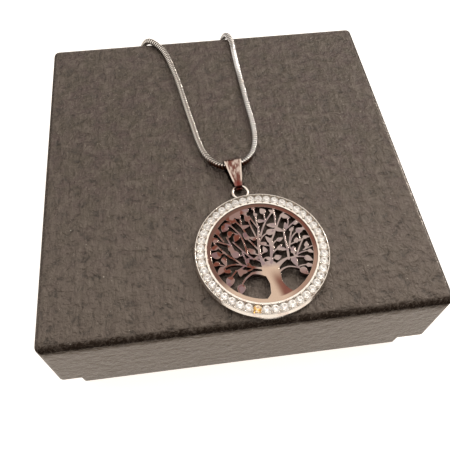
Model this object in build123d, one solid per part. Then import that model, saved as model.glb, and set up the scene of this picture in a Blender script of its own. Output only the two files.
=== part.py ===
from build123d import *
import math
import os

os.makedirs("parts", exist_ok=True)

# A tree of life pendant on a snake chain, lying on a closed gift box.
# Millimetres. The origin is the middle of the tray's underside, +Z is up, and the pendant
# lies on the half of the lid towards -Y. The chain goes over the lid's edge at +Y and
# closes in a loop on the surface behind the box.

# Gift box
box_side = 90.0
box_height = 36.0
lid_depth = 21.6
lid_flare = 0.8
lid_wall = 1.5
lid_top_rounding = 2.0
lid_corner_rounding = 1.5
tray_wall = 2.0
tray_floor = 2.0
tray_corner_rounding = 0.8
tray_side_clearance = 0.35
tray_top_clearance = 0.1

# Gap under what only lies on something
rest_gap = 0.05

# Chain and clasp
chain_diameter = 1.65
clasp_cap_wall = 0.25
clasp_bore_clearance = 0.1
clasp_cap_length = 4.0
clasp_bore_depth = 3.2
clasp_ring_radius = 1.5
clasp_ring_wire = 0.4
clasp_body_length = 8.8
clasp_body_width = 4.2
clasp_body_thickness = 1.9
clasp_slot_length = 5.0
clasp_slot_width = 1.7
clasp_overlap = 0.25
clasp_y = 82.8

# Bail, a strip bent into a long loop that narrows towards the pendant
bail_strip = 0.35
bail_top_width = 4.2
bail_foot_width = 1.5
bail_top_bore = 2.7
bail_reach = 6.15
bail_lean = 5.1
bail_foot_clearance = 0.38
chain_in_bail_offset = 0.1

# Pendant's frame, a channel that holds the stones round the tree
frame_radius = 15.4
frame_height = 2.0
frame_wall = 0.6
frame_slope_width = 0.4
frame_slope_height = 0.75
frame_rounding = 0.1
channel_width = 2.0
channel_floor = 0.9
lip_width = 0.4
lip_height = 1.9
seat_width = 0.7
seat_height = 0.7
eye_wire = 0.8
eye_inner_radius = 1.4
eye_stand_off = 1.16
eye_turn = 8.8
bead_foot_radius = 0.28
bead_tip_radius = 0.18
bead_inset = 0.1

# Stones, each a brilliant with a table, a crown, a girdle and a pavilion
stone_diameter = 1.76
stone_gap = 0.12
stone_girdle = 0.1
stone_crown = 0.38
stone_pavilion = 0.72
stone_clearance = 0.06
stone_table_share = 0.56
stone_star_share = 0.78
amber_stone_turn = -103.6

# Tree plate
plate_thickness = 1.0
plate_rim_width = 0.9
plate_clearance = 0.05

# Heights and places that follow from the sizes above
on_lid = box_height + rest_gap + chain_diameter / 2
on_floor = rest_gap + chain_diameter / 2
in_clasp = rest_gap + clasp_cap_wall + clasp_bore_clearance + chain_diameter / 2
behind = box_side / 2 + rest_gap + chain_diameter / 2
bail_top_outer = bail_top_bore / 2 + bail_strip
bail_top_height = box_height + rest_gap + bail_top_outer
bail_foot_bore = eye_wire + 2 * bail_foot_clearance
bail_foot_outer = bail_foot_bore / 2 + bail_strip
in_bail = bail_top_height - chain_in_bail_offset

# The chain's route from one end in the clasp to the other: x, y and the height
bail_point = (1.5, -4.75, in_bail)
route = [
    (-6.5, clasp_y, in_clasp),
    (-20.5, clasp_y, on_floor),
    (-35.5, 82.0, on_floor),
    (-47.5, 78.0, on_floor),
    (-53.4, 69.5, on_floor),
    (-53.2, 60.0, on_floor),
    (-48.5, 53.0, on_floor),
    (-39.5, 49.9, on_floor),
    (-31.5, behind + 3.2, on_floor),
    (-26.2, behind + 2.2, 3.2),
    (-24.1, behind + 1.5, 9.0),
    (-22.9, behind + 1.1, 16.5),
    (-22.2, behind + 0.8, 24.0),
    (-20.5, behind + 0.5, on_lid - 6.5),
    (-18.3, behind + 0.28, on_lid - 1.7),
    (-16.3, behind - 1.4, on_lid + 0.2),
    (-13.9, 41.9, on_lid),
    (-12.2, 38.6, on_lid),
    (-10.9, 33.6, on_lid),
    (-9.4, 26.4, on_lid),
    (-8.2, 17.6, on_lid),
    (-6.95, 9.8, on_lid),
    (-6.1, 4.2, on_lid),
    (-5.0, 0.1, on_lid),
    (-3.2, -2.7, on_lid + 0.25),
    (-1.2, -4.68, in_bail - 0.05),
    bail_point,
    (4.2, -4.1, in_bail - 0.1),
    (6.3, -2.1, on_lid + 0.25),
    (7.8, 0.5, on_lid),
    (8.7, 4.2, on_lid),
    (8.85, 9.0, on_lid),
    (8.38, 15.5, on_lid),
    (8.12, 22.5, on_lid),
    (7.78, 30.0, on_lid),
    (7.66, 36.4, on_lid),
    (7.72, 40.9, on_lid),
    (6.8, behind - 1.4, on_lid + 0.2),
    (5.5, behind + 0.28, on_lid - 1.7),
    (4.7, behind + 0.5, on_lid - 6.5),
    (5.5, behind + 0.8, 24.0),
    (7.4, behind + 1.1, 16.5),
    (9.8, behind + 1.5, 9.0),
    (13.8, behind + 2.2, 3.2),
    (20.0, behind + 3.2, on_floor),
    (28.5, 50.4, on_floor),
    (39.5, 51.0, on_floor),
    (51.5, 54.0, on_floor),
    (59.8, 61.0, on_floor),
    (60.2, 70.5, on_floor),
    (53.0, 78.6, on_floor),
    (40.5, 82.3, on_floor),
    (25.0, clasp_y, on_floor),
    (9.9, clasp_y, in_clasp),
]
corner_share = 0.45

# The tree's branches, as shares of the window's radius from its middle:
# start x, start y, end x, end y, bow to the left of the way from start to end, start width, end width
branches = [
    # trunk and roots
    (0.16, -1.01, 0.15, -0.68, 0, 0.306, 0.235),
    (0.15, -0.71, 0.09, -0.40, -0.01, 0.230, 0.335),
    (0.20, -0.68, 0.44, -0.96, -0.04, 0.144, 0.115),
    (0.11, -0.74, -0.04, -1.03, 0.04, 0.115, 0.096),
    # left limb and the fan at its top
    (-0.01, -0.43, -0.06, -0.13, -0.01, 0.124, 0.054),
    (-0.06, -0.15, -0.03, 0.31, 0.01, 0.054, 0.046),
    (-0.03, 0.29, 0.01, 0.54, 0, 0.046, 0.034),
    (-0.05, 0.26, -0.17, 0.74, 0.01, 0.030, 0.027),
    (0.01, 0.48, -0.14, 0.80, 0, 0.027, 0.027),
    (0.01, 0.50, -0.01, 0.82, 0.01, 0.030, 0.027),
    (0.02, 0.32, 0.17, 0.63, 0.01, 0.038, 0.030),
    (0.16, 0.62, 0.36, 0.87, 0, 0.030, 0.030),
    (0.17, 0.64, 0.17, 0.85, 0, 0.027, 0.026),
    (-0.02, 0.84, -0.02, 1.03, 0, 0.027, 0.027),
    # right limb
    (0.16, -0.42, 0.15, -0.14, 0.01, 0.096, 0.042),
    (0.15, -0.15, 0.20, 0.05, 0, 0.046, 0.086),
    (0.20, 0.03, 0.20, 0.22, 0, 0.091, 0.077),
    (0.21, 0.19, 0.29, 0.33, 0, 0.038, 0.034),
    (0.28, 0.32, 0.36, 0.49, 0, 0.038, 0.038),
    (-0.03, 0.17, 0.16, 0.37, 0.03, 0.030, 0.027),
    (0.19, 0.08, -0.05, 0.16, 0.01, 0.030, 0.027),
    (0.35, 0.46, 0.38, 0.95, -0.01, 0.034, 0.030),
    (0.37, 0.47, 0.53, 0.77, 0.01, 0.034, 0.030),
    (0.50, 0.74, 0.64, 0.85, 0, 0.038, 0.038),
    (0.50, 0.36, 0.63, 0.68, -0.04, 0.030, 0.027),
    (0.59, 0.44, 0.85, 0.62, 0.01, 0.030, 0.030),
    (0.50, -0.03, 0.50, 0.43, 0.01, 0.042, 0.030),
    (0.54, 0.01, 0.66, 0.39, 0.01, 0.034, 0.030),
    (0.57, 0.10, 0.77, 0.34, 0.03, 0.030, 0.027),
    (0.57, 0.07, 0.79, 0.17, -0.01, 0.030, 0.027),
    (0.78, 0.14, 0.79, 0.33, 0, 0.027, 0.027),
    (0.76, 0.12, 1.01, 0.19, 0.02, 0.027, 0.027),
    (0.65, -0.18, 0.85, 0.17, 0.01, 0.034, 0.027),
    (0.59, -0.21, 0.92, -0.11, 0.03, 0.030, 0.026),
    (0.80, -0.08, 1.01, -0.01, 0, 0.026, 0.026),
    (0.82, -0.08, 0.88, -0.01, 0, 0.026, 0.026),
    # sweeping branches to the right
    (0.19, -0.41, 0.45, -0.22, 0.02, 0.115, 0.042),
    (0.43, -0.24, 0.81, -0.24, 0.03, 0.038, 0.026),
    (0.21, -0.54, 0.44, -0.40, 0.03, 0.046, 0.030),
    (0.43, -0.40, 0.68, -0.48, 0.02, 0.030, 0.027),
    (0.61, -0.44, 0.81, -0.41, 0.02, 0.027, 0.027),
    (0.48, -0.24, 0.50, 0.02, 0, 0.046, 0.042),
    (0.61, -0.21, 0.53, 0.03, -0.02, 0.038, 0.038),
    (0.15, -0.20, 0.24, -0.18, 0, 0.027, 0.027),
    (0.18, -0.09, 0.32, 0.01, 0.01, 0.038, 0.030),
    (0.22, 0.09, 0.37, 0.21, 0.02, 0.030, 0.027),
    # sweeping branches to the left
    (-0.05, -0.38, -0.45, -0.26, 0.01, 0.050, 0.034),
    (-0.44, -0.26, -0.62, -0.08, -0.01, 0.034, 0.030),
    (-0.62, -0.09, -0.91, 0.26, 0.01, 0.030, 0.027),
    (-0.48, -0.25, -0.80, -0.29, -0.03, 0.030, 0.027),
    (-0.21, -0.32, -0.40, -0.40, 0.03, 0.030, 0.027),
    (-0.03, -0.50, -0.28, -0.46, -0.02, 0.096, 0.042),
    (-0.26, -0.46, -0.50, -0.68, -0.03, 0.042, 0.027),
    (-0.39, -0.29, -0.57, -0.38, 0.01, 0.030, 0.027),
    (-0.56, -0.37, -0.68, -0.50, 0, 0.027, 0.027),
    (-0.79, -0.29, -0.75, -0.36, 0, 0.026, 0.026),
    (-0.88, -0.20, -0.74, -0.26, 0, 0.026, 0.026),
    (-0.84, -0.01, -0.73, 0.05, 0, 0.027, 0.027),
    # upper left
    (-0.59, 0.19, -0.88, 0.32, 0.01, 0.034, 0.030),
    (-0.72, 0.28, -0.84, 0.50, 0, 0.027, 0.027),
    (-0.38, 0.41, -0.56, 0.66, 0, 0.030, 0.027),
    (-0.31, 0.55, -0.44, 0.74, 0, 0.030, 0.027),
    (-0.24, 0.35, -0.32, 0.58, 0, 0.030, 0.030),
    (-0.32, 0.56, -0.33, 0.85, 0, 0.027, 0.027),
    (-0.18, 0.95, -0.56, 0.79, -0.02, 0.115, 0.115),
    (-0.37, 0.39, -0.56, 0.49, 0.01, 0.027, 0.027),
    (-0.30, -0.06, -0.39, 0.42, -0.02, 0.038, 0.027),
    (-0.08, 0.04, -0.25, 0.30, 0, 0.030, 0.027),
    (-0.07, -0.10, -0.20, -0.03, 0, 0.034, 0.030),
    (-0.07, -0.23, -0.32, -0.15, -0.03, 0.030, 0.027),
    (-0.27, -0.30, -0.39, 0.01, 0.02, 0.034, 0.030),
    (-0.37, -0.05, -0.53, -0.08, 0, 0.027, 0.027),
    (-0.54, 0.03, -0.65, 0.37, 0, 0.034, 0.027),
    (-0.33, -0.03, -0.54, 0.25, 0, 0.030, 0.027),
    (-0.19, -0.17, -0.32, -0.02, 0.01, 0.038, 0.034),
    # twigs between the limbs
    (-0.07, -0.09, 0.05, -0.03, 0, 0.027, 0.027),
    (0.15, -0.26, 0.07, -0.18, 0, 0.027, 0.026),
    (-0.06, -0.23, 0.04, -0.16, 0, 0.027, 0.026),
    (0.87, -0.04, 0.88, 0.01, 0, 0.027, 0.027),
]

# The leaves, as the same shares: stalk x, stalk y, tip x, tip y, width
leaves = [
    (0.01, 0.67, 0.18, 0.65, 0.08),
    (0.19, 0.83, 0.11, 0.96, 0.14),
    (0.02, 0.79, -0.04, 0.87, 0.08),
    (-0.02, 0.94, -0.04, 1.02, 0.08),
    (0.21, 0.15, 0.11, 0.31, 0.09),
    (0.11, 0.13, -0.02, 0.18, 0.07),
    (0.07, -0.05, 0.03, 0.09, 0.09),
    (0.13, -0.21, 0.03, -0.15, 0.08),
    (0.38, 0.82, 0.28, 0.91, 0.08),
    (0.52, 0.74, 0.69, 0.66, 0.10),
    (0.56, 0.42, 0.56, 0.58, 0.09),
    (0.71, 0.52, 0.85, 0.56, 0.08),
    (0.62, 0.36, 0.71, 0.45, 0.08),
    (0.74, 0.33, 0.90, 0.40, 0.13),
    (0.87, 0.38, 0.99, 0.43, 0.08),
    (0.68, 0.09, 0.73, 0.21, 0.09),
    (0.84, 0.18, 0.97, 0.21, 0.08),
    (0.87, -0.03, 0.90, 0.10, 0.09),
    (0.89, -0.09, 0.99, -0.17, 0.08),
    (0.79, -0.23, 0.94, -0.33, 0.12),
    (0.67, -0.45, 0.79, -0.61, 0.14),
    (0.79, -0.40, 0.95, -0.45, 0.08),
    (0.56, -0.21, 0.62, -0.43, 0.11),
    (0.59, -0.14, 0.62, 0.03, 0.10),
    (0.21, -0.20, 0.35, -0.16, 0.12),
    (0.31, -0.03, 0.40, 0.09, 0.09),
    (0.35, 0, 0.49, -0.04, 0.08),
    (0.32, 0.18, 0.46, 0.23, 0.09),
    (0.15, 0.36, 0.35, 0.44, 0.14),
    (0.35, 0.45, 0.50, 0.37, 0.09),
    (0.37, 0.52, 0.17, 0.56, 0.11),
    (-0.49, -0.66, -0.56, -0.87, 0.16),
    (-0.46, -0.34, -0.50, -0.50, 0.13),
    (-0.67, -0.48, -0.76, -0.70, 0.16),
    (-0.66, -0.36, -0.80, -0.37, 0.08),
    (-0.78, -0.27, -0.93, -0.42, 0.12),
    (-0.86, -0.16, -1.02, -0.22, 0.09),
    (-0.81, -0.02, -1.02, 0.03, 0.16),
    (-0.78, -0.06, -0.73, -0.26, 0.09),
    (-0.85, 0.18, -1.02, 0.13, 0.10),
    (-0.84, 0.29, -0.97, 0.40, 0.12),
    (-0.80, 0.45, -0.86, 0.65, 0.10),
    (-0.62, 0.64, -0.72, 0.50, 0.16),
    (-0.52, 0.65, -0.68, 0.68, 0.09),
    (-0.44, 0.68, -0.56, 0.84, 0.13),
    (-0.34, 0.77, -0.41, 0.92, 0.12),
    (-0.17, 0.68, -0.22, 0.89, 0.10),
    (-0.25, 0.85, -0.19, 0.97, 0.11),
    (-0.56, 0.50, -0.62, 0.34, 0.09),
    (-0.42, 0.41, -0.51, 0.25, 0.13),
    (-0.33, 0.55, -0.15, 0.59, 0.08),
    (-0.23, 0.27, -0.32, 0.44, 0.10),
    (-0.08, 0.26, -0.23, 0.32, 0.08),
    (-0.15, -0.05, -0.28, 0.08, 0.11),
    (-0.32, -0.14, -0.34, -0.28, 0.08),
    (-0.48, -0.09, -0.62, 0.09, 0.15),
    (-0.59, 0.05, -0.64, 0.23, 0.09),
    (-0.37, -0.38, -0.44, -0.45, 0.08),
    (-0.09, -0.13, -0.21, -0.18, 0.06),
]
leaf_shoulder_share = 0.38
leaf_side_share = 0.72
leaf_side_width_share = 0.62


def turned(x, y, degrees):
    # A point turned about the middle, anticlockwise.
    angle = math.radians(degrees)
    return (x * math.cos(angle) - y * math.sin(angle), x * math.sin(angle) + y * math.cos(angle))


def side_edge(start, middle, end):
    # An arc through three points, or a straight edge where they are in line.
    away = (end - start).cross(middle - start).length / (end - start).length
    if away < 0.002:
        return Line(start, end)
    return ThreePointArc(start, middle, end)


def branch_face(start_x, start_y, end_x, end_y, bow, start_width, end_width):
    # A tapering strip along an arc, with round ends.
    start = Vector(start_x, start_y) * window_radius
    end = Vector(end_x, end_y) * window_radius
    along = (end - start).normalized()
    left = Vector(-along.Y, along.X)
    middle = (start + end) * 0.5 + left * bow * window_radius
    start_half = start_width * window_radius / 2
    end_half = end_width * window_radius / 2
    middle_half = (start_half + end_half) / 2
    sides = [
        side_edge(start + left * start_half, middle + left * middle_half, end + left * end_half),
        ThreePointArc(end + left * end_half, end + along * end_half, end - left * end_half),
        side_edge(end - left * end_half, middle - left * middle_half, start - left * start_half),
        ThreePointArc(start - left * start_half, start - along * start_half, start + left * start_half),
    ]
    return make_face(sides)


def leaf_face(stalk_x, stalk_y, tip_x, tip_y, width):
    # A leaf with a round foot and two sides that run to a point.
    stalk = Vector(stalk_x, stalk_y) * window_radius
    tip = Vector(tip_x, tip_y) * window_radius
    blade = tip - stalk
    along = blade.normalized()
    left = Vector(-along.Y, along.X) * width * window_radius / 2
    shoulder = stalk + blade * leaf_shoulder_share
    flank = stalk + blade * leaf_side_share
    edges = [
        ThreePointArc(shoulder - left, stalk, shoulder + left),
        ThreePointArc(shoulder + left, flank + left * leaf_side_width_share, tip),
        ThreePointArc(tip, flank - left * leaf_side_width_share, shoulder - left),
    ]
    return make_face(edges)


def export_node(shape, name):
    shape.label = name
    export_step(shape, "parts/" + name + ".step")
    print(name, "solids", len(shape.solids()), "volume", round(shape.volume, 2))


def rounded_block(side, height, rounding):
    # An upright square block with rounded upright edges, standing on the ground.
    block = Pos(0, 0, height / 2) * Box(side, side, height)
    return fillet(block.edges().filter_by(Axis.Z), rounding)


def make_box_tray():
    outer_side = box_side - 2 * (lid_wall + tray_side_clearance)
    height = box_height - lid_wall - tray_top_clearance
    outer = rounded_block(outer_side, height, tray_corner_rounding)
    inner_side = outer_side - 2 * tray_wall
    hollow = Pos(0, 0, tray_floor + height / 2) * Box(inner_side, inner_side, height)
    return outer - hollow


def make_box_lid():
    # The four sides lean out, so the lid is widest at its lower edge.
    lean = math.degrees(math.atan(lid_flare / lid_depth))
    open_side = box_side + 2 * lid_flare
    outer = extrude(Rectangle(open_side, open_side), lid_depth, taper=lean)
    upright_edges = outer.edges().filter_by_position(Axis.Z, lid_depth / 4, lid_depth * 3 / 4)
    outer = fillet(upright_edges, lid_corner_rounding)
    outer = fillet(outer.edges().group_by(Axis.Z)[-1], lid_top_rounding)
    inner_side = open_side - 2 * lid_wall
    outer -= extrude(Rectangle(inner_side, inner_side), lid_depth - lid_wall, taper=lean)
    return Pos(0, 0, box_height - lid_depth) * outer


def make_chain():
    # A round cord along straight runs joined by tangent arcs, split where it passes the bail.
    points = [Vector(*point) for point in route]
    radii = []
    for before, here, after in zip(points, points[1:], points[2:]):
        turn = math.radians((here - before).get_angle(after - here))
        shorter = min((here - before).length, (after - here).length)
        radii.append(corner_share * shorter / math.tan(turn / 2))
    print("chain arc radii", [round(radius, 1) for radius in radii])
    path = FilletPolyline(*points, radius=radii)
    start = Plane(origin=path @ 0, z_dir=path % 0)
    section = start * Circle(chain_diameter / 2)
    cord = sweep(section, path)
    area = math.pi * chain_diameter ** 2 / 4
    print("chain length", round(path.length, 1))
    print("volume over section times length", round(cord.volume / (area * path.length), 5))
    reach = 4 * box_side
    half = Box(reach, reach, reach, align=(Align.MAX, Align.CENTER, Align.CENTER))
    half = Pos(bail_point[0], 0, 0) * half
    return cord & half, cord - half


def make_clasp():
    # End caps, a ring beside each, and the closed body of the clasp, in one line and soldered.
    middle_x = (route[0][0] + route[-1][0]) / 2
    cap_radius = chain_diameter / 2 + clasp_bore_clearance + clasp_cap_wall
    bore_radius = chain_diameter / 2 + clasp_bore_clearance
    body = SlotOverall(clasp_body_length, clasp_body_width)
    body -= SlotOverall(clasp_slot_length, clasp_slot_width)
    clasp = Pos(0, 0, -clasp_body_thickness / 2) * extrude(body, clasp_body_thickness)
    ring_x = clasp_body_length / 2 + clasp_ring_radius - clasp_overlap
    cap_inner_x = ring_x + clasp_ring_radius - clasp_overlap
    for side in (-1, 1):
        ring = Pos(side * ring_x, 0, 0) * Torus(clasp_ring_radius, clasp_ring_wire)
        cap = Cylinder(cap_radius, clasp_cap_length, rotation=(0, 90, 0))
        cap = Pos(side * (cap_inner_x + clasp_cap_length / 2), 0, 0) * cap
        bore = Cylinder(bore_radius, clasp_bore_depth, rotation=(0, 90, 0))
        bore_x = cap_inner_x + clasp_cap_length - clasp_bore_depth / 2
        bore = Pos(side * bore_x, 0, 0) * bore
        clasp = clasp + ring + cap - bore
    return Pos(middle_x, route[0][1], in_clasp) * clasp


def tangent_hull(near, near_radius, far, far_radius):
    # The outline round two circles whose middles lie on the first axis of the plane.
    span = (far - near).length
    along = (far - near).normalized()
    left = Vector(-along.Y, along.X)
    lean = math.acos((near_radius - far_radius) / span)
    near_left = near + (along * math.cos(lean) + left * math.sin(lean)) * near_radius
    near_right = near + (along * math.cos(lean) - left * math.sin(lean)) * near_radius
    far_left = far + (along * math.cos(lean) + left * math.sin(lean)) * far_radius
    far_right = far + (along * math.cos(lean) - left * math.sin(lean)) * far_radius
    edges = [
        ThreePointArc(near_left, near - along * near_radius, near_right),
        Line(near_right, far_right),
        ThreePointArc(far_right, far + along * far_radius, far_left),
        Line(far_left, near_left),
    ]
    return make_face(edges)


def make_bail():
    # The loop's side view is drawn with x along the bail from its foot and y as the height.
    foot = Vector(0, eye_height)
    top = Vector(bail_reach, bail_top_height)
    outline = tangent_hull(foot, bail_foot_outer, top, bail_top_outer)
    outline -= tangent_hull(foot, bail_foot_bore / 2, top, bail_top_bore / 2)
    side_view = Plane(origin=(0, 0, 0), x_dir=(0, 1, 0), z_dir=(1, 0, 0))
    loop = extrude(side_view * outline, bail_top_width, both=True)
    plan = Polygon(
        (-bail_foot_width / 2, -bail_foot_outer),
        (bail_foot_width / 2, -bail_foot_outer),
        (bail_top_width / 2, bail_reach),
        (bail_top_width / 2, bail_reach + bail_top_outer),
        (-bail_top_width / 2, bail_reach + bail_top_outer),
        (-bail_top_width / 2, bail_reach),
        align=None,
    )
    bail = loop & extrude(plan, 2 * box_height)
    return Pos(bail_foot_x, bail_foot_y, 0) * Rot(0, 0, bail_lean) * bail


def make_pendant_frame():
    # The ring's cross-section from its open inner edge outwards, turned about the middle.
    plate_seat_radius = window_radius + plate_rim_width + plate_clearance
    seat_radius = plate_seat_radius - seat_width
    lip_radius = plate_seat_radius + lip_width
    wall_radius = frame_radius - frame_wall
    profile = Polyline(
        (seat_radius, 0),
        (seat_radius, seat_height),
        (plate_seat_radius, seat_height),
        (plate_seat_radius, lip_height),
        (lip_radius, lip_height),
        (lip_radius, channel_floor),
        (wall_radius, channel_floor),
        (wall_radius, frame_height),
        (frame_radius - frame_slope_width, frame_height),
        (frame_radius, frame_height - frame_slope_height),
        (frame_radius, 0),
        close=True,
    )
    section = Plane.XZ * make_face(profile)
    ring = revolve(section, Axis.Z)
    circles = ring.edges().filter_by(GeomType.CIRCLE)
    outer_edges = circles.filter_by(lambda edge: edge.radius > frame_radius - 0.01)
    top_edges = circles.filter_by_position(Axis.Z, frame_height - 0.01, frame_height + 0.01)
    ring = fillet(set(outer_edges + top_edges), frame_rounding)
    eye = Pos(eye_x, eye_y, eye_height - frame_base) * Torus(eye_radius, eye_wire / 2)
    eye -= Cylinder(frame_radius - frame_wall / 2, 4 * frame_height)
    ring += eye
    beads = []
    bead_height = frame_height - channel_floor
    for index in range(stone_count):
        turn = amber_stone_turn + (index + 0.5) * stone_pitch
        for radius in (lip_radius + bead_inset, wall_radius - bead_inset):
            bead_x, bead_y = turned(radius, 0, turn)
            bead = Cone(bead_foot_radius, bead_tip_radius, bead_height)
            beads.append(Pos(bead_x, bead_y, channel_floor + bead_height / 2) * bead)
    return place_on_lid(ring + beads)


def stone_at(turn):
    # A brilliant: an eight-sided table, star, kite and girdle facets, and a pointed pavilion.
    sides = 8
    step = 360 / sides
    radius = stone_diameter / 2
    table_radius = radius * stone_table_share
    star_radius = radius * stone_star_share
    girdle_top = stone_pavilion + stone_girdle
    table_height = girdle_top + stone_crown
    star_reach = star_radius * math.cos(math.radians(step / 2))
    star_height = table_height - stone_crown * (star_reach - table_radius) / (radius - table_radius)

    def ring_point(ring_radius, height, quarter):
        angle = math.radians(quarter * step / 2)
        return Vector(ring_radius * math.cos(angle), ring_radius * math.sin(angle), height)

    point = Vector(0, 0, 0)
    facets = [[ring_point(table_radius, table_height, 2 * side) for side in range(sides)]]
    for side in range(sides):
        here = 2 * side
        table_here = ring_point(table_radius, table_height, here)
        table_next = ring_point(table_radius, table_height, here + 2)
        star_before = ring_point(star_radius, star_height, here - 1)
        star_after = ring_point(star_radius, star_height, here + 1)
        edge_here = ring_point(radius, girdle_top, here)
        edge_after = ring_point(radius, girdle_top, here + 1)
        edge_next = ring_point(radius, girdle_top, here + 2)
        low_here = ring_point(radius, stone_pavilion, here)
        low_after = ring_point(radius, stone_pavilion, here + 1)
        low_next = ring_point(radius, stone_pavilion, here + 2)
        facets.append([table_here, table_next, star_after])
        facets.append([table_here, star_before, edge_here, star_after])
        facets.append([star_after, edge_here, edge_after])
        facets.append([star_after, edge_after, edge_next])
        facets.append([edge_here, low_here, low_after, edge_after])
        facets.append([edge_after, low_after, low_next, edge_next])
        facets.append([low_here, point, low_after])
        facets.append([low_after, point, low_next])
    faces = [Face(Wire.make_polygon(facet, close=True)) for facet in facets]
    stone = Solid(Shell(faces))
    stone_radius = frame_radius - frame_wall - channel_width / 2
    stone_x, stone_y = turned(stone_radius, 0, turn)
    stone = Pos(stone_x, stone_y, channel_floor + stone_clearance) * Rot(0, 0, turn) * stone
    return place_on_lid(stone)


def make_tree_plate():
    rim = Circle(window_radius + plate_rim_width)
    plate = rim - Circle(window_radius)
    faces = [branch_face(*branch) for branch in branches]
    faces += [leaf_face(*leaf) for leaf in leaves]
    plate = plate + faces
    plate = plate & rim
    return place_on_lid(Pos(0, 0, seat_height + plate_clearance) * extrude(plate, plate_thickness))


def place_on_lid(shape):
    return Pos(pendant_x, pendant_y, frame_base) * shape


# The pendant's places, worked back from the bail that hangs on the chain
lip_outer_radius = frame_radius - frame_wall - channel_width
window_radius = lip_outer_radius - lip_width - plate_clearance - plate_rim_width
frame_base = box_height + rest_gap
eye_height = frame_base + bail_foot_outer
eye_radius = eye_inner_radius + eye_wire / 2
bail_down_x, bail_down_y = turned(0, -bail_reach, bail_lean)
bail_foot_x = bail_point[0] + bail_down_x
bail_foot_y = bail_point[1] + chain_in_bail_offset + bail_down_y
eye_reach = frame_radius + eye_stand_off
eye_x, eye_y = turned(0, eye_reach, eye_turn)
wire_x, wire_y = turned(0, eye_reach + eye_radius, eye_turn)
pendant_x = bail_foot_x - wire_x
pendant_y = bail_foot_y - wire_y
stone_circle = 2 * math.pi * (frame_radius - frame_wall - channel_width / 2)
stone_count = int(stone_circle / (stone_diameter + stone_gap))
stone_pitch = 360 / stone_count
print("pendant at", round(pendant_x, 2), round(pendant_y, 2), "window", round(window_radius, 2))
print("stones", stone_count)

export_node(make_box_tray(), "box_tray")
export_node(make_box_lid(), "box_lid")
chain_left, chain_right = make_chain()
export_node(chain_left, "chain_left")
export_node(chain_right, "chain_right")
export_node(make_clasp(), "clasp")
export_node(make_bail(), "bail")
export_node(make_pendant_frame(), "pendant_frame")
export_node(make_tree_plate(), "tree_plate")
clear_stones = [stone_at(amber_stone_turn + index * stone_pitch) for index in range(1, stone_count)]
export_node(Compound(children=clear_stones), "crystals")
export_node(stone_at(amber_stone_turn), "amber_stone")
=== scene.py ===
import math

import bpy
from mathutils import Matrix, Vector


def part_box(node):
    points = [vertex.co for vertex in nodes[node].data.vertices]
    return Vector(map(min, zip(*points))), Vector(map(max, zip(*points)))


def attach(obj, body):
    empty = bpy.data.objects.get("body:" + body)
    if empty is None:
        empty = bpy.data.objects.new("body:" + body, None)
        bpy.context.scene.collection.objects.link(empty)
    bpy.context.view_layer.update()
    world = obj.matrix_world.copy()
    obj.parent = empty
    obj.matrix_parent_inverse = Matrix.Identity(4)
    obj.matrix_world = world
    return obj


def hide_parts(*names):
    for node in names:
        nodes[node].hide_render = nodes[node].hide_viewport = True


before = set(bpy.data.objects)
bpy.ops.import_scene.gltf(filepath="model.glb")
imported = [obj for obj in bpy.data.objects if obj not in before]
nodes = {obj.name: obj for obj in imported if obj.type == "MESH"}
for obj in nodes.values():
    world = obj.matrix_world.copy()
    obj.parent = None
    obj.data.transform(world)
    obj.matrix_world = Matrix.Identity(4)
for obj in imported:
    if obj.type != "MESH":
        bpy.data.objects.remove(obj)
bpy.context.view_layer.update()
mm = 0.001


# camera, as the photo was taken: from the front, a little to the left, looking well down
cameraLook = {
    "lens": 38.55,
    "sensor": 36,               # millimetres wide
    "nearest": 0.005,           # metres, and what is nearer is cut away
    "place": (-10.7, -76.49, 133.32),
    "turn": -8.42,              # degrees away from straight ahead
    "tilt": 59.76,              # degrees below level
    "roll": 1.2,
}


def placeCamera(look):
    turn, tilt, roll = (math.radians(look[key]) for key in ("turn", "tilt", "roll"))
    back = Vector((math.sin(turn) * math.cos(tilt), -math.cos(turn) * math.cos(tilt), math.sin(tilt)))
    right = (-back).cross(Vector((0, 0, 1))).normalized()
    up = right.cross(-back)
    rolledRight = right * math.cos(roll) + up * math.sin(roll)
    rolledUp = up * math.cos(roll) - right * math.sin(roll)
    data = bpy.data.cameras.new("camera")
    data.lens = look["lens"]
    data.sensor_width = look["sensor"]
    data.clip_start = look["nearest"]
    camera = bpy.data.objects.new("camera", data)
    bpy.context.scene.collection.objects.link(camera)
    camera.matrix_world = Matrix.Translation(Vector(look["place"]) * mm) @ Matrix(
        (rolledRight, rolledUp, back)).transposed().to_4x4()
    bpy.context.scene.camera = camera


placeCamera(cameraLook)
bpy.context.scene.view_settings.view_transform = "Standard"
print("camera placed")


# the chain: the same points as the part's route, in millimetres
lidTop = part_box("box_lid")[1].z / mm
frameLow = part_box("pendant_frame")[0].z / mm
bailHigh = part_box("bail")[1].z / mm
pendantMiddle = sum(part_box("tree_plate"), Vector()) / 2 / mm
chainLook = {
    "radius": 0.825,
    "restGap": 0.05,
    "pitch": 0.7,               # one rib of the snake chain
    "plump": 1.06,              # on the lid, against the plain round size
    "sides": 20,
    "wave": 0.15,               # how far each rib swings along the chain
    "waveCount": 2,
    "ribRows": ((0.0, 0.89), (0.2, 0.95), (0.4, 1.0), (0.6, 1.0), (0.8, 0.95)),
    "squareness": 2.9,          # 2 is round
    "twist": 0.55,              # degrees for each millimetre
    "firstTurn": 20,
    "splitX": 1.5,              # the two halves meet inside the bail
    "claspLift": 1.175,         # of its middle, above the clasp's underside
    "lidFlare": 0.8,            # how much wider the lid is lower down
    "bailDrop": 1.8,            # of its middle, below the bail's top
    "lineSteps": 30,            # points between two points of the route
}
onLid = lidTop + chainLook["restGap"] + chainLook["radius"]
onFloor = chainLook["restGap"] + chainLook["radius"]
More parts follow.
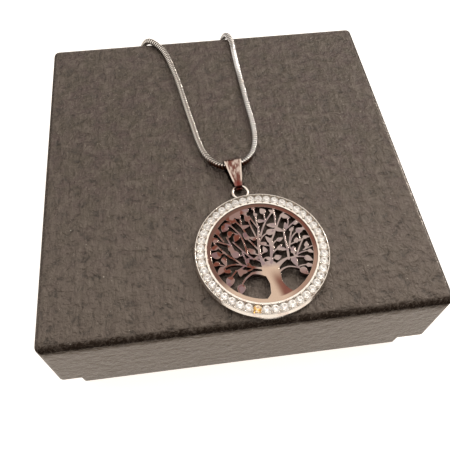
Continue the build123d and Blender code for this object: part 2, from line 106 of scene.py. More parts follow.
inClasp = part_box("clasp")[0].z / mm + chainLook["claspLift"]
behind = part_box("box_lid")[1].y / mm - chainLook["lidFlare"] + chainLook["restGap"] + chainLook["radius"]
inBail = bailHigh - chainLook["bailDrop"]
claspY = 82.8
chainRoute = [
    (-6.5, claspY, inClasp),
    (-20.5, claspY, onFloor),
    (-35.5, 82.0, onFloor),
    (-47.5, 78.0, onFloor),
    (-53.4, 69.5, onFloor),
    (-53.2, 60.0, onFloor),
    (-48.5, 53.0, onFloor),
    (-39.5, 49.9, onFloor),
    (-31.5, behind + 3.2, onFloor),
    (-26.2, behind + 2.2, 3.2),
    (-24.1, behind + 1.5, 9.0),
    (-22.9, behind + 1.1, 16.5),
    (-22.2, behind + 0.8, 24.0),
    (-20.5, behind + 0.5, onLid - 6.5),
    (-18.3, behind + 0.28, onLid - 1.7),
    (-16.3, behind - 1.4, onLid + 0.2),
    (-13.9, 41.9, onLid),
    (-12.2, 38.6, onLid),
    (-10.9, 33.6, onLid),
    (-9.4, 26.4, onLid),
    (-8.2, 17.6, onLid),
    (-6.95, 9.8, onLid),
    (-6.1, 4.2, onLid),
    (-5.0, 0.1, onLid),
    (-3.2, -2.7, onLid + 0.25),
    (-1.2, -4.68, inBail - 0.05),
    (1.5, -4.75, inBail),
    (4.2, -4.1, inBail - 0.1),
    (6.3, -2.1, onLid + 0.25),
    (7.8, 0.5, onLid),
    (8.7, 4.2, onLid),
    (8.85, 9.0, onLid),
    (8.38, 15.5, onLid),
    (8.12, 22.5, onLid),
    (7.78, 30.0, onLid),
    (7.66, 36.4, onLid),
    (7.72, 40.9, onLid),
    (6.8, behind - 1.4, onLid + 0.2),
    (5.5, behind + 0.28, onLid - 1.7),
    (4.7, behind + 0.5, onLid - 6.5),
    (5.5, behind + 0.8, 24.0),
    (7.4, behind + 1.1, 16.5),
    (9.8, behind + 1.5, 9.0),
    (13.8, behind + 2.2, 3.2),
    (20.0, behind + 3.2, onFloor),
    (28.5, 50.4, onFloor),
    (39.5, 51.0, onFloor),
    (51.5, 54.0, onFloor),
    (59.8, 61.0, onFloor),
    (60.2, 70.5, onFloor),
    (53.0, 78.6, onFloor),
    (40.5, 82.3, onFloor),
    (25.0, claspY, onFloor),
    (9.9, claspY, inClasp),
]


def smoothLine(route, steps):
    # a smooth spline with the route as its control points, read back as many close points
    curve = bpy.data.curves.new("chain_line", "CURVE")
    curve.dimensions = "3D"
    curve.resolution_u = steps
    spline = curve.splines.new("NURBS")
    spline.points.add(len(route) - 1)
    for point, place in zip(spline.points, route):
        point.co = (*(Vector(place) * mm), 1)
    spline.order_u = 3
    spline.use_endpoint_u = True
    holder = bpy.data.objects.new("chain_line", curve)
    bpy.context.scene.collection.objects.link(holder)
    mesh = bpy.data.meshes.new_from_object(holder)
    line = [vertex.co.copy() for vertex in mesh.vertices]
    bpy.data.objects.remove(holder)
    bpy.data.meshes.remove(mesh)
    return line


class Walk:
    # finds the place and the cross directions at any distance along a line
    def __init__(self, line):
        self.line = line
        self.reach = [0.0]
        for before, after in zip(line, line[1:]):
            self.reach.append(self.reach[-1] + (after - before).length)
        tangents = []
        for i in range(len(line)):
            before, after = line[max(i - 1, 0)], line[min(i + 1, len(line) - 1)]
            tangents.append((after - before).normalized())
        side = Vector((0, 0, 1)).cross(tangents[0]).normalized()
        self.frames = []
        for tangent in tangents:
            side = (side - tangent * side.dot(tangent)).normalized()
            self.frames.append((tangent, side.copy(), tangent.cross(side)))
        self.step = 0

    def at(self, distance):
        while self.step < len(self.line) - 2 and self.reach[self.step + 1] < distance:
            self.step += 1
        while self.step > 0 and self.reach[self.step] > distance:
            self.step -= 1
        i = self.step
        share = (distance - self.reach[i]) / (self.reach[i + 1] - self.reach[i])
        place = self.line[i].lerp(self.line[i + 1], share)
        return [place] + [a.lerp(b, share).normalized() for a, b in zip(self.frames[i], self.frames[i + 1])]


def meshPiece(name, verts, faces, smooth=True):
    mesh = bpy.data.meshes.new(name)
    mesh.from_pydata(verts, [], faces)
    mesh.validate()
    mesh.update()
    if smooth:
        mesh.shade_smooth()
    else:
        mesh.shade_flat()
    piece = bpy.data.objects.new(name, mesh)
    bpy.context.scene.collection.objects.link(piece)
    return piece


def snakeChain(name, walk, start, end, look):
    # one closed tube whose ribs follow each other along the line
    ribs = round((end - start) / (look["pitch"] * mm))
    pitch = (end - start) / ribs
    rows = [((rib + share) * pitch, size) for rib in range(ribs) for share, size in look["ribRows"]]
    rows.append((ribs * pitch, look["ribRows"][0][1]))
    sizes = [size for share, size in look["ribRows"]]
    sides = look["sides"]
    verts, ridges = [], []
    for along, size in rows:
        ridges += [(size - min(sizes)) / (max(sizes) - min(sizes))] * sides
        for side in range(sides):
            angle = 2 * math.pi * side / sides
            swing = look["wave"] * mm * math.cos(look["waveCount"] * angle)
            swing *= min(1, along / pitch, (ribs * pitch - along) / pitch)
            place, tangent, across, over = walk.at(start + along)
            corner = angle + math.radians(look["firstTurn"] + look["twist"] * (start + along) / mm)
            power = look["squareness"]
            flat = (abs(math.cos(corner)) ** power + abs(math.sin(corner)) ** power) ** (-1 / power)
            flat /= 2 ** (0.5 - 1 / power)
            fullness = 1 + (look["plump"] - 1) * min(1, max(0, place.z / mm / lidTop))
            radius = look["radius"] * mm * size * flat * fullness
            spoke = across * math.cos(angle) + over * math.sin(angle)
            verts.append(place + tangent * swing + spoke * radius)
    faces = [tuple(reversed(range(sides)))]
    for row in range(len(rows) - 1):
        for side in range(sides):
            after = (side + 1) % sides
            low, high = row * sides, (row + 1) * sides
            faces.append((low + side, low + after, high + after, high + side))
    faces.append(tuple(range(len(verts) - sides, len(verts))))
    piece = meshPiece(name, verts, faces)
    piece.data.attributes.new("ridge", "FLOAT", "POINT").data.foreach_set("value", ridges)
    return piece


chainWalk = Walk(smoothLine(chainRoute, chainLook["lineSteps"]))
splitAt = next(
    chainWalk.reach[i] for i, place in enumerate(chainWalk.line)
    if place.x > chainLook["splitX"] * mm and place.y < 0)
chainLeft = snakeChain("snake_chain_left", chainWalk, 0, splitAt, chainLook)
chainRight = snakeChain("snake_chain_right", chainWalk, splitAt, chainWalk.reach[-1], chainLook)
for piece, node in ((chainLeft, "chain_left"), (chainRight, "chain_right")):
    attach(piece, "root")
    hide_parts(node)
print("chain made,", round(chainWalk.reach[-1] / mm, 1), "mm")


# the beads that hold the stones, a domed head on each
settingLook = {
    "count": 46,
    "amberTurn": -103.6,        # the turn of the first stone; a bead stands half a step on
    "reaches": (12.9, 14.7),
    "radius": 0.25,
    "height": 1.92,             # of the middle, above the frame's underside
    "sides": 10,
    "rings": 5,
    "lowest": -20,              # degrees, of the first ring, below the middle of the head
    "span": 110,                # degrees, from there to the top
}


def settingBeads(look):
    verts, faces = [], []
    sides = look["sides"]
    for index in range(look["count"]):
        turn = math.radians(look["amberTurn"] + (index + 0.5) * 360 / look["count"])
        for reach in look["reaches"]:
            foot = Vector((pendantMiddle.x + reach * math.cos(turn), pendantMiddle.y + reach * math.sin(turn),
                           frameLow + look["height"]))
            first = len(verts)
            for ring in range(look["rings"]):
                rise = math.radians(look["lowest"] + look["span"] * ring / look["rings"])
                for side in range(sides):
                    angle = 2 * math.pi * side / sides
                    spot = Vector((math.cos(angle) * math.cos(rise), math.sin(angle) * math.cos(rise),
                                   math.sin(rise)))
                    verts.append((foot + spot * look["radius"]) * mm)
            verts.append((foot + Vector((0, 0, look["radius"]))) * mm)
            faces.append(tuple(first + side for side in reversed(range(sides))))
            for ring in range(look["rings"] - 1):
                low = first + ring * sides
                high = low + sides
                for side in range(sides):
                    after = (side + 1) % sides
                    faces.append((low + side, low + after, high + after, high + side))
            last = first + (look["rings"] - 1) * sides
            for side in range(sides):
                faces.append((last + side, last + (side + 1) % sides, len(verts) - 1))
    return meshPiece("setting_beads", verts, faces)


beads = settingBeads(settingLook)
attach(beads, "root")
print("setting beads made")


# helpers for materials
def newMaterial(name):
    material = bpy.data.materials.new(name)
    material.use_nodes = True
    return material, material.node_tree, material.node_tree.nodes["Principled BSDF"]


def put(tree, kind, sockets=(), **settings):
    # adds a node, sets its options, and fills or links its sockets
    node = tree.nodes.new("ShaderNode" + kind)
    for key, value in settings.items():
        setattr(node, key, value)
    for key, value in dict(sockets).items():
        if isinstance(value, bpy.types.NodeSocket):
            tree.links.new(value, node.inputs[key])
        else:
            node.inputs[key].default_value = value
    return node


def objectPlace(tree, offset=(0, 0, 0), turn=0, size=(1, 1, 1)):
    # the place on the object in millimetres, from an offset, turned and stretched
    place = put(tree, "TexCoord").outputs["Object"]
    scaled = put(tree, "VectorMath", {0: place, "Scale": 1 / mm}, operation="SCALE").outputs[0]
    moved = put(tree, "VectorMath", {0: scaled, 1: offset}, operation="SUBTRACT").outputs[0]
    return put(tree, "Mapping", {"Vector": moved, "Rotation": (0, 0, math.radians(turn)),
                                 "Scale": size}).outputs[0]


def noise(tree, place, scale, detail=3, roughness=0.5, distortion=0.0):
    return put(tree, "TexNoise", {"Vector": place, "Scale": scale, "Detail": detail, "Roughness": roughness,
                                  "Distortion": distortion}).outputs[0]


def ramp(tree, value, low, high, toLow=0.0, toHigh=1.0):
    return put(tree, "MapRange", {"Value": value, "From Min": low, "From Max": high, "To Min": toLow,
                                  "To Max": toHigh}, interpolation_type="SMOOTHSTEP").outputs[0]


def blendColour(tree, share, first, second):
    node = put(tree, "Mix", data_type="RGBA", clamp_factor=True)
    for socket, value in ((node.inputs[0], share), (node.inputs[6], first), (node.inputs[7], second)):
        if isinstance(value, bpy.types.NodeSocket):
            tree.links.new(value, socket)
        else:
            socket.default_value = (*value, 1) if isinstance(value, tuple) else value
    return node.outputs[2]


def compute(tree, operation, first, second=0.0):
    return put(tree, "Math", {0: first, 1: second}, operation=operation).outputs[0]


def both(tree, first, second):
    # the product of two shares, or of a value and a number
    return compute(tree, "MULTIPLY", first, second)


def unevenRoughness(tree, marks, look):
    smoother, rougher = look["spread"]
    return ramp(tree, marks, *look["markRange"], look["roughness"] - smoother, look["roughness"] + rougher)


def dress(piece, material):
    piece.data.materials.clear()
    piece.data.materials.append(material)


# box paper: dark and waxed, crinkled like thin leather, mottled olive and mauve, with a few specks; painted
# light makes it paler towards the front edge and lighter on the upright sides, and painted shade darkens the
# rounded top edges
paperLook = {
    "olive": (0.046, 0.036, 0.023),
    "mauve": (0.056, 0.034, 0.033),
    "pale": (0.110, 0.088, 0.072),
    "dark": (0.014, 0.011, 0.009),
    "fold": (0.022, 0.013, 0.008),      # painted shade on the rounded top edges
    "face": (0.084, 0.058, 0.032),      # painted light on the upright sides, lighter and warmer
    "speck": (0.50, 0.47, 0.40),
    "sheen": (1.0, 0.87, 0.77),
    "ior": 1.7,
    "roughness": 0.42,
    "patchSize": 6.0,
    "mottleSize": 2.4,
    "speckSize": 0.42,
    "foldRoughness": 0.22,
    "paintedLightFrom": 8.0,          # painted light: it grows paler from here towards the front edge
    "paintedLightTo": -44.0,
    "crinkleSize": 2.4,
    "grainSize": 0.6,
    "streakTurn": -28,
    "streakStretch": 0.22,
    "depth": 0.8,
    "foldCrinkles": 0.25,
    "foldDepth": 3.2,           # below the lid's top
    "bulgeFrom": -1.0,          # and here the paper bulges out a little
    "bulgeTo": 4.4,
    "bulge": 2.6,
    # each range below is from, to, and, where given, how strong it is at the two ends
    "patchRange": (0.40, 0.62),
    "mottlePale": (0.51, 0.64, 0, 1.0),
    "mottleDark": (0.48, 0.36, 0, 0.9),
    "faceSlope": (0.3, 0.1, 0, 0.9),
    "foldSlope": (0.98, 0.86),
    "grainPale": (0.45, 0.75, 0, 0.8),
    "streakPale": (0.54, 0.66, 0, 0.6),
    "speckRange": (0.78, 0.81),
    "coarseness": 0.6,          # how much of the fine detail each pattern has
    "mottleCoarseness": 0.68,
    "speckCoarseness": 0.4,
    "crinkleWander": 0.3,       # how far the pattern is bent about
    "mottleWander": 0.4,
    "paintedLightShare": 0.75,
    "markRange": (0.3, 0.7),
    "spread": (0.05, 0.08),     # of the roughness, down and up
    "streakCount": 1.3,         # for each crinkle
    "streakHeight": 0.8,
    "grainHeight": 0.3,
}


def paperMaterial(look):
    material, tree, shader = newMaterial("box paper")
    place = objectPlace(tree)
    slanted = objectPlace(tree, turn=look["streakTurn"], size=(1, look["streakStretch"], 1))
    coarseness = look["coarseness"]
    patches = noise(tree, place, 1 / look["patchSize"], 3, coarseness)
    crinkles = noise(tree, place, 1 / look["crinkleSize"], 4, coarseness, look["crinkleWander"])
    grain = noise(tree, place, 1 / look["grainSize"], 3, coarseness)
    streaks = noise(tree, slanted, look["streakCount"] / look["crinkleSize"], 3, coarseness)
    mottle = noise(tree, place, 1 / look["mottleSize"], 5, look["mottleCoarseness"], look["mottleWander"])
    specks = noise(tree, place, 1 / look["speckSize"], 1, look["speckCoarseness"])
    # the fold is the paper's rounding over the board, round the lid's top; it gets painted shade and a
    # smoother gloss
    upward = put(tree, "SeparateXYZ", {0: put(tree, "NewGeometry").outputs["Normal"]}).outputs[2]
    parts = put(tree, "SeparateXYZ", {0: place})
    belowTop = compute(tree, "SUBTRACT", lidTop, parts.outputs[2])
    fold = both(tree, ramp(tree, upward, *look["foldSlope"]),
                ramp(tree, belowTop, look["foldDepth"], look["foldDepth"] / 2))
    # painted light: the paper grows paler towards the front edge
    paintedFrontLight = ramp(tree, parts.outputs[1], look["paintedLightFrom"], look["paintedLightTo"], 0, look["paintedLightShare"])
    colour = blendColour(tree, ramp(tree, patches, *look["patchRange"]), look["olive"], look["mauve"])
    colour = blendColour(tree, paintedFrontLight, colour, look["pale"])
    colour = blendColour(tree, ramp(tree, mottle, *look["mottlePale"]), colour, look["pale"])
    colour = blendColour(tree, ramp(tree, mottle, *look["mottleDark"]), colour, look["dark"])
    # painted light: the upright sides are lighter and warmer
    colour = blendColour(tree, ramp(tree, upward, *look["faceSlope"]), colour, look["face"])
    # painted shade: the fold is darker
    colour = blendColour(tree, fold, colour, look["fold"])
    colour = blendColour(tree, ramp(tree, grain, *look["grainPale"]), colour, look["pale"])
    colour = blendColour(tree, ramp(tree, streaks, *look["streakPale"]), colour, look["pale"])
    colour = blendColour(tree, ramp(tree, specks, *look["speckRange"]), colour, look["speck"])
    tree.links.new(colour, shader.inputs["Base Color"])
    shader.inputs["Specular Tint"].default_value = (*look["sheen"], 1)
    shader.inputs["IOR"].default_value = look["ior"]
    rough = unevenRoughness(tree, grain, look)
    folded = compute(tree, "MULTIPLY", fold, look["foldRoughness"] - look["roughness"])
    tree.links.new(compute(tree, "ADD", rough, folded), shader.inputs["Roughness"])
    height = compute(tree, "ADD", crinkles, compute(tree, "MULTIPLY", streaks, look["streakHeight"]))
    height = compute(tree, "ADD", height, compute(tree, "MULTIPLY", grain, look["grainHeight"]))
    smoothed = ramp(tree, fold, 0, 0.5, 1, look["foldCrinkles"])
    bulge = put(tree, "Bump", {"Strength": 1.0, "Distance": look["bulge"] * mm,
                               "Height": ramp(tree, belowTop, look["bulgeFrom"], look["bulgeTo"])})
    bump = put(tree, "Bump", {"Strength": smoothed, "Distance": look["depth"] * mm, "Height": height,
                              "Normal": bulge.outputs[0]})
    tree.links.new(bump.outputs[0], shader.inputs["Normal"])
    return material


# silver of the frame and clasp, with faint marks of polishing and a warm cast in places
silverLook = {
    "bright": (0.70, 0.65, 0.59),
    "warm": (0.56, 0.42, 0.35),
    "roughness": 0.17,
    "spread": (0.03, 0.1),
    "patchScale": 0.55,
    "warmRange": (0.5, 0.72, 0, 0.6),
    "markScale": 6.0,
    "markCoarseness": 0.65,
    "markRange": (0.3, 0.75),
    "markHeight": 0.12,
    "bump": 0.12,
    "bumpDepth": 0.25,
}


def silverMaterial(name, look):
    material, tree, shader = newMaterial(name)
    shader.inputs["Metallic"].default_value = 1.0
    place = objectPlace(tree)
    patches = noise(tree, place, look["patchScale"], 3)
    marks = noise(tree, place, look["markScale"], 4, look["markCoarseness"])
    colour = blendColour(tree, ramp(tree, patches, *look["warmRange"]), look["bright"], look["warm"])
    tree.links.new(colour, shader.inputs["Base Color"])
    tree.links.new(unevenRoughness(tree, marks, look), shader.inputs["Roughness"])
    height = compute(tree, "ADD", compute(tree, "MULTIPLY", marks, look["markHeight"]), patches)
    bump = put(tree, "Bump", {"Strength": look["bump"], "Distance": look["bumpDepth"] * mm, "Height": height})
    tree.links.new(bump.outputs[0], shader.inputs["Normal"])
    return material


# the bail's strip: cream along its edges, and between them a painted reflection, coppery brown in stretched
# patches and dark red towards the foot
bailLook = {
    "cream": (0.52, 0.445, 0.385),
    "brown": (0.115, 0.045, 0.034),
    "red": (0.11, 0.018, 0.014),
    "top": (1.5, -4.65, 0),
    "turn": -5.1,               # the way it leans
    "footWidth": 1.5,
    "topWidth": 4.2,
    "reach": 6.15,
    "edgeRange": (0.94, 0.70),  # from the edge inwards, 1 is the edge
    "stretchedScale": 1.6,
    "stretching": 0.3,
    "reflectionRange": (0.38, 0.58, 0.35, 1.0),
    "redRange": (-4.9, -5.9),   # painted reflection, dark red towards the foot
    "redShare": 0.85,
    "roughness": 0.14,
    "spread": (0.05, 0.08),
    "markScale": 5.0,
    "markRange": (0.3, 0.7),
    "bump": 0.35,
    "bumpDepth": 0.3,
}


def bailMaterial(look):
    material, tree, shader = newMaterial("bail silver")
    shader.inputs["Metallic"].default_value = 1.0
    place = objectPlace(tree, look["top"], turn=look["turn"])
    parts = put(tree, "SeparateXYZ", {0: place})
    slope = (look["topWidth"] - look["footWidth"]) / 2 / look["reach"]
    halfWidth = compute(tree, "ADD", compute(tree, "MULTIPLY", parts.outputs[1], slope), look["topWidth"] / 2)
    outward = compute(tree, "DIVIDE", compute(tree, "ABSOLUTE", parts.outputs[0]), halfWidth)
    stretchedPlace = objectPlace(tree, turn=look["turn"], size=(1, look["stretching"], 1))
    stretchedNoise = noise(tree, stretchedPlace, look["stretchedScale"], 3)
    # painted reflection: coppery brown between the edges in stretched patches, then dark red towards the foot
    brownShare = both(tree, ramp(tree, outward, *look["edgeRange"]), ramp(tree, stretchedNoise, *look["reflectionRange"]))
    colour = blendColour(tree, brownShare, look["cream"], look["brown"])
    redShare = both(tree, ramp(tree, parts.outputs[1], *look["redRange"]), look["redShare"])
    colour = blendColour(tree, redShare, colour, look["red"])
    tree.links.new(colour, shader.inputs["Base Color"])
    marks = noise(tree, place, look["markScale"], 3)
    tree.links.new(unevenRoughness(tree, marks, look), shader.inputs["Roughness"])
    bump = put(tree, "Bump", {"Strength": look["bump"], "Distance": look["bumpDepth"] * mm, "Height": stretchedNoise})
    tree.links.new(bump.outputs[0], shader.inputs["Normal"])
    return material


# tree plate: each leaf lies a little differently; painted reflections give copper tones to the left, pinkish
# silver to the right, a tone of its own in each patch and the rim's tones, painted light makes the trunk
# beige with painted shade on its right side, and a painted highlight runs along its edges
treeLook = {
    "silver": (0.29, 0.23, 0.215),
    "beige": (0.41, 0.31, 0.24),
    "copper": (0.118, 0.038, 0.026),
    "lilac": (0.17, 0.12, 0.135),
    "mauve": (0.112, 0.060, 0.047),
    "edge": 0.13,               # rounding of its edges
    # painted highlight along the edges
    "edgeHighlight": (0.66, 0.54, 0.47),
    "leafSize": 1.5,            # the size of the patches, each with a painted reflection of its own
    "patchScale": 0.45,
    "copperLean": -0.16,        # painted reflection, more copper towards the left
    "copperPatches": 1.3,
    "copperRange": (0.5, 1.1),
    "copperCells": (0.2, 0.6, 0.55, 1.0),
    "lilacCells": (0.66, 0.8),
    "lilacShare": 0.6,
    # painted light: the lit face of the trunk and roots is beige
    "trunkTop": (-3.2, -4.6),   # places below are from the pendant's middle
    "trunkLeft": (-2.0, -0.6),
    "trunkRight": (3.6, 2.6),
    "flankTop": 7.5,            # painted shade, the darker right side of the trunk
    "flankLean": -0.28,
    "flankRange": (0.5, 2.4),
    "flankDepth": (-4.2, -8.0),
    "flankShare": 0.9,
    "windowRadius": 11.45,
    "rimFade": (0.15, 0.1),     # inwards and outwards
    # painted reflection on the rim: beige low down, mauve higher up, copper to the right
    "rimLean": 0.3,
    "rimRange": (-7.5, -2.0),
    "rimCopper": (2.5, 7.0),
    "rimCopperShare": 0.55,
    "edgeHighlightRange": (0.995, 0.93, 0, 0.75),
    "tilt": 0.18,
    "tiltScale": 0.7,
    "tiltDepth": 0.3,
    "roughness": 0.10,
    "spread": (0.04, 0.06),
    "markScale": 5.0,
    "markRange": (0.3, 0.7),
}


def treeMaterial(look):
    material, tree, shader = newMaterial("tree silver")
    shader.inputs["Metallic"].default_value = 1.0
    place = objectPlace(tree, tuple(pendantMiddle))
    parts = put(tree, "SeparateXYZ", {0: place})
    across, ahead = parts.outputs[0], parts.outputs[1]
    cells = put(tree, "TexVoronoi", {"Vector": place, "Scale": 1 / look["leafSize"]}, feature="F1")
    cellTone = put(tree, "SeparateColor", {0: cells.outputs["Color"]})
    patches = noise(tree, place, look["patchScale"], 2)
    # painted reflection: copper towards the left and in some patches, lilac in others
    leftward = compute(tree, "ADD", both(tree, across, look["copperLean"]),
                       both(tree, patches, look["copperPatches"]))
    copperShare = both(tree, ramp(tree, leftward, *look["copperRange"]),
                       ramp(tree, cellTone.outputs[0], *look["copperCells"]))
    colour = blendColour(tree, copperShare, look["silver"], look["copper"])
    lilacShare = both(tree, ramp(tree, cellTone.outputs[1], *look["lilacCells"]), look["lilacShare"])
    colour = blendColour(tree, lilacShare, colour, look["lilac"])
    # painted light on the trunk and roots, and painted shade on the trunk's right side
    trunkShare = both(tree, ramp(tree, ahead, *look["trunkTop"]), ramp(tree, across, *look["trunkLeft"]))
    trunkShare = both(tree, trunkShare, ramp(tree, across, *look["trunkRight"]))
    colour = blendColour(tree, trunkShare, colour, look["beige"])
    lean = both(tree, compute(tree, "ADD", ahead, look["flankTop"]), look["flankLean"])
    flank = compute(tree, "SUBTRACT", across, lean)
    flankShare = both(tree, ramp(tree, flank, *look["flankRange"]), ramp(tree, ahead, *look["flankDepth"]))
    colour = blendColour(tree, both(tree, flankShare, look["flankShare"]), colour, look["copper"])
    # painted reflection on the rim round the tree
    flatPlace = put(tree, "CombineXYZ", {0: across, 1: ahead}).outputs[0]
    reach = put(tree, "VectorMath", {0: flatPlace}, operation="LENGTH").outputs["Value"]
    inwards, outwards = look["rimFade"]
    rimShare = ramp(tree, reach, look["windowRadius"] - inwards, look["windowRadius"] + outwards)
    upward = compute(tree, "SUBTRACT", ahead, both(tree, across, look["rimLean"]))
    rimColour = blendColour(tree, ramp(tree, upward, *look["rimRange"]), look["beige"], look["mauve"])
    rimCopper = both(tree, ramp(tree, across, *look["rimCopper"]), look["rimCopperShare"])
    rimColour = blendColour(tree, rimCopper, rimColour, look["copper"])
    colour = blendColour(tree, rimShare, colour, rimColour)
    # painted highlight, bright along its edges
    rounded = put(tree, "Bevel", {"Radius": look["edge"] * mm}, samples=6)
    plain = put(tree, "NewGeometry").outputs["True Normal"]
    flatness = put(tree, "VectorMath", {0: rounded.outputs[0], 1: plain}, operation="DOT_PRODUCT")
    edgeHighlightShare = ramp(tree, flatness.outputs["Value"], *look["edgeHighlightRange"])
    colour = blendColour(tree, edgeHighlightShare, colour, look["edgeHighlight"])
    tree.links.new(colour, shader.inputs["Base Color"])
    marks = noise(tree, place, look["markScale"], 3)
    tree.links.new(unevenRoughness(tree, marks, look), shader.inputs["Roughness"])
    bump = put(tree, "Bump", {"Strength": look["tilt"], "Distance": look["tiltDepth"] * mm,
                              "Height": noise(tree, place, look["tiltScale"], 1),
                              "Normal": rounded.outputs[0]})
    tree.links.new(bump.outputs[0], shader.inputs["Normal"])
    return material


# chain silver: cream in patches, with painted light brighter towards the right, a painted glare on the right
# strand, a painted reflection darker along the middle of the left strand, and painted shade in the grooves
# and on the underside towards the bail
linkLook = {
    "silver": (0.94, 0.89, 0.82),
    "cream": (0.84, 0.72, 0.61),
    "bright": (0.96, 0.93, 0.90),
    "brightFrom": -2.0,         # painted light, brighter across the box from the left strand to the right one
    "brightTo": 6.0,
    # painted shade in the grooves between the ribs
    "groove": (0.015, 0.011, 0.009),
    "stripe": (0.46, 0.41, 0.37),       # painted reflection, darker along the middle of the left strand
    "glare": (0.97, 0.96, 0.95),
    "glareReach": (26.0, 31.0, 36.0, 40.0),     # it comes and goes along the right strand
    "copper": (0.26, 0.10, 0.055),
    "copperFrom": -1.0,         # painted shade on the underside, towards the bail
    "copperTo": -3.2,
    "copperFacing": (-0.1, -0.5),
    "patchScale": 0.35,
    "creamRange": (0.5, 0.75, 0, 0.5),
    "stripeRange": (0.3, 0.1),
    "stripeFade": 0.75,         # how much of it goes on the right strand
    "ridgeRange": (0.3, 0.95),
    "roughness": 0.16,
    "spread": (0.04, 0.08),
    "markScale": 7.0,
    "markRange": (0.3, 0.7),
    "bump": 0.15,
    "bumpDepth": 0.1,
}


def chainMaterial(look):
    material, tree, shader = newMaterial("chain silver")
    shader.inputs["Metallic"].default_value = 1.0
    place = objectPlace(tree)
    parts = put(tree, "SeparateXYZ", {0: place})
    patches = noise(tree, place, look["patchScale"], 2)
    # painted light: brighter towards the right
    rightward = ramp(tree, parts.outputs[0], look["brightFrom"], look["brightTo"])
    colour = blendColour(tree, rightward, look["silver"], look["bright"])
    colour = blendColour(tree, ramp(tree, patches, *look["creamRange"]), colour, look["cream"])
    # painted reflection: darker along the middle of the left strand
    facing = put(tree, "SeparateXYZ", {0: put(tree, "NewGeometry").outputs["Normal"]})
    beside = compute(tree, "ABSOLUTE", facing.outputs[0])
    leftward = compute(tree, "SUBTRACT", 1.0, both(tree, rightward, look["stripeFade"]))
    stripeShare = both(tree, ramp(tree, beside, *look["stripeRange"]), leftward)
    colour = blendColour(tree, stripeShare, colour, look["stripe"])
    rise, full, fade, gone = look["glareReach"]
    glareShare = both(tree, ramp(tree, parts.outputs[1], rise, full), rightward)
    glareShare = both(tree, glareShare, ramp(tree, parts.outputs[1], gone, fade))
    colour = blendColour(tree, glareShare, colour, look["glare"])
    # painted shade on the underside towards the bail
    copperShare = both(tree, ramp(tree, parts.outputs[1], look["copperFrom"], look["copperTo"]),
                       ramp(tree, facing.outputs[1], *look["copperFacing"]))
    colour = blendColour(tree, copperShare, colour, look["copper"])
    # painted shade: dark in the grooves between the ribs, but not under the glare
    ridge = put(tree, "Attribute", attribute_name="ridge").outputs["Fac"]
    grooved = blendColour(tree, ramp(tree, ridge, *look["ridgeRange"]), look["groove"], colour)
    colour = blendColour(tree, glareShare, grooved, colour)
    tree.links.new(colour, shader.inputs["Base Color"])
    marks = noise(tree, place, look["markScale"], 3)
    tree.links.new(unevenRoughness(tree, marks, look), shader.inputs["Roughness"])
    bump = put(tree, "Bump", {"Strength": look["bump"], "Distance": look["bumpDepth"] * mm, "Height": marks})
    tree.links.new(bump.outputs[0], shader.inputs["Normal"])
    return material


# stones: clear glass with a faint painted glow of their own, though they are no lamp, painted reflection in
# darker grey facets, and each one has its own cast
stoneLook = {
    "clear": (1.0, 0.97, 0.93),
    "cream": (0.99, 0.88, 0.72),
    "grey": (0.62, 0.56, 0.52),
    "amber": (0.80, 0.42, 0.06),
    "facetScale": 2.2,
    "castRange": (0.55, 1.0, 0, 0.7),
    "greyRange": (0.66, 0.82),
    "amberScale": 0.7,
    "amberRange": (0.42, 0.5),
    "glow": 0.12,
    "clarity": 1.0,
    "ior": 1.9,
    "roughness": 0.03,
}


def stoneMaterial(name, look, amber=False):
    material, tree, shader = newMaterial(name)
    place = objectPlace(tree, tuple(pendantMiddle))
    cells = put(tree, "TexVoronoi", {"Vector": place, "Scale": look["facetScale"]})
    facets = put(tree, "SeparateColor", {0: cells.outputs["Color"]})
    ownCast = put(tree, "NewGeometry").outputs["Random Per Island"]
    colour = blendColour(tree, ramp(tree, ownCast, *look["castRange"]), look["clear"], look["cream"])
    # painted reflection: darker grey facets
    colour = blendColour(tree, ramp(tree, facets.outputs[0], *look["greyRange"]), colour, look["grey"])
    if amber:
        tint = noise(tree, place, look["amberScale"], 1)
        colour = blendColour(tree, ramp(tree, tint, *look["amberRange"]), colour, look["amber"])
    tree.links.new(colour, shader.inputs["Base Color"])
    shader.inputs["Transmission Weight"].default_value = look["clarity"]
    # painted light: a faint glow in the stone's own colour
    tree.links.new(colour, shader.inputs["Emission Color"])
    shader.inputs["Emission Strength"].default_value = look["glow"]
    shader.inputs["IOR"].default_value = look["ior"]
    shader.inputs["Roughness"].default_value = look["roughness"]
    return material


# a small rounding that catches the light
edgeLook = {
    "widths": {"bail": 0.08, "clasp": 0.1},
    "segments": 3,
    "angle": 40,                # degrees, and sharper edges are rounded
}


def softenEdges(piece, width, look):
    bevel = piece.modifiers.new("soft edges", "BEVEL")
    bevel.width = width * mm
    bevel.segments = look["segments"]
    bevel.limit_method = "ANGLE"
    bevel.angle_limit = math.radians(look["angle"])
    bevel.use_clamp_overlap = True
    bevel.harden_normals = True


paper = paperMaterial(paperLook)
silver = silverMaterial("polished silver", silverLook)
for name in ("box_lid", "box_tray"):
    dress(nodes[name], paper)
for name in ("pendant_frame", "clasp"):
    dress(nodes[name], silver)
dress(nodes["bail"], bailMaterial(bailLook))
dress(nodes["tree_plate"], treeMaterial(treeLook))
dress(nodes["crystals"], stoneMaterial("clear crystal", stoneLook))
dress(nodes["amber_stone"], stoneMaterial("amber crystal", stoneLook, amber=True))
for name, width in edgeLook["widths"].items():
    softenEdges(nodes[name], width, edgeLook)
dress(beads, silver)
chainSilver = chainMaterial(linkLook)
dress(chainLeft, chainSilver)
dress(chainRight, chainSilver)
print("materials dressed")


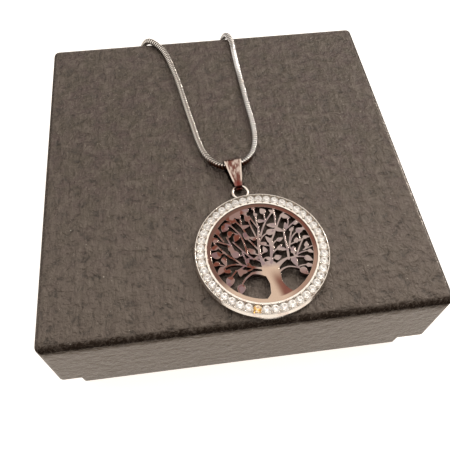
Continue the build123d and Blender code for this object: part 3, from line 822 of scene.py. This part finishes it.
# floor and light
roomLook = {
    "walls": (0.50, 0.46, 0.43),
    "shade": (0.28, 0.255, 0.235),
    "wallPatches": 2.2,
    "window": (1.62, 1.53, 1.44),        # a broad bright part of the room, behind and above the box
    "windowToward": (0.0, 0.24, 0.97),
    "strips": (0.95, 0.90, 0.85),       # two low bright parts, to the left and to the right
    "dark": (0.07, 0.060, 0.052),       # the unlit side of the room, where one stands to look
    "darkToward": (0, -0.95, 0.3),
    "wallRange": (0.42, 0.60),
    "windowReach": (24, 55),    # degrees, where it is full and where it ends
    "stripToward": (0.25, 0.35),
    "stripReach": (12, 24),
    "darkReach": (48, 78),
}
floorLook = {
    "half": 3.0,                # metres
    "drop": 0.05,               # below what stands on it
    "tones": ((0.42, 0.42, 0.42), (0.45, 0.45, 0.45)),
    "patchScale": 0.02,
    "roughness": 0.6,
    "warmth": (1.0, 0.93, 0.86),
    "glow": 1.06,
}
lampLook = {
    "ceiling lamp": {"place": (0.85, 0.55, 0.75), "size": 0.16, "power": 4.2, "colour": (1.0, 0.95, 0.89)},
}


def layFloor(look):
    half = look["half"]
    floor = meshPiece("floor", [(-half, -half, 0), (half, -half, 0), (half, half, 0), (-half, half, 0)],
                      [(0, 1, 2, 3)], smooth=False)
    floor.location.z = -look["drop"] * mm
    material, tree, shader = newMaterial("pale floor")
    place = objectPlace(tree)
    tone = blendColour(tree, noise(tree, place, look["patchScale"], 2), *look["tones"])
    tree.links.new(tone, shader.inputs["Base Color"])
    shader.inputs["Roughness"].default_value = look["roughness"]
    shader.inputs["Emission Color"].default_value = (*look["warmth"], 1)
    shader.inputs["Emission Strength"].default_value = look["glow"]
    dress(floor, material)


def patch(tree, direction, centre, inner, outer):
    # 1 near a direction of the room, 0 away from it
    toward = put(tree, "VectorMath", {0: direction, 1: Vector(centre).normalized()}, operation="DOT_PRODUCT")
    return ramp(tree, toward.outputs["Value"], math.cos(math.radians(outer)), math.cos(math.radians(inner)))


def lightRoom(look):
    world = bpy.data.worlds.new("room")
    bpy.context.scene.world = world
    world.use_nodes = True
    tree = world.node_tree
    background = tree.nodes["Background"]
    direction = put(tree, "TexCoord").outputs["Generated"]
    uneven = noise(tree, direction, look["wallPatches"], 2, 0.5, distortion=0.5)
    colour = blendColour(tree, ramp(tree, uneven, *look["wallRange"]), look["shade"], look["walls"])
    window = patch(tree, direction, look["windowToward"], *look["windowReach"])
    colour = blendColour(tree, window, colour, look["window"])
    for side in (-1, 1):
        strip = patch(tree, direction, (side, *look["stripToward"]), *look["stripReach"])
        colour = blendColour(tree, strip, colour, look["strips"])
    dark = patch(tree, direction, look["darkToward"], *look["darkReach"])
    colour = blendColour(tree, dark, colour, look["dark"])
    tree.links.new(colour, background.inputs["Color"])
    background.inputs["Strength"].default_value = 1.0


def hangLamp(name, look):
    data = bpy.data.lights.new(name, "AREA")
    data.energy = look["power"]
    data.size = look["size"]
    data.color = look["colour"]
    lamp = bpy.data.objects.new(name, data)
    bpy.context.scene.collection.objects.link(lamp)
    lamp.location = look["place"]
    lamp.rotation_euler = Vector(look["place"]).to_track_quat("Z", "Y").to_euler()


layFloor(floorLook)
lightRoom(roomLook)
for name, look in lampLook.items():
    hangLamp(name, look)
print("floor and light in place")
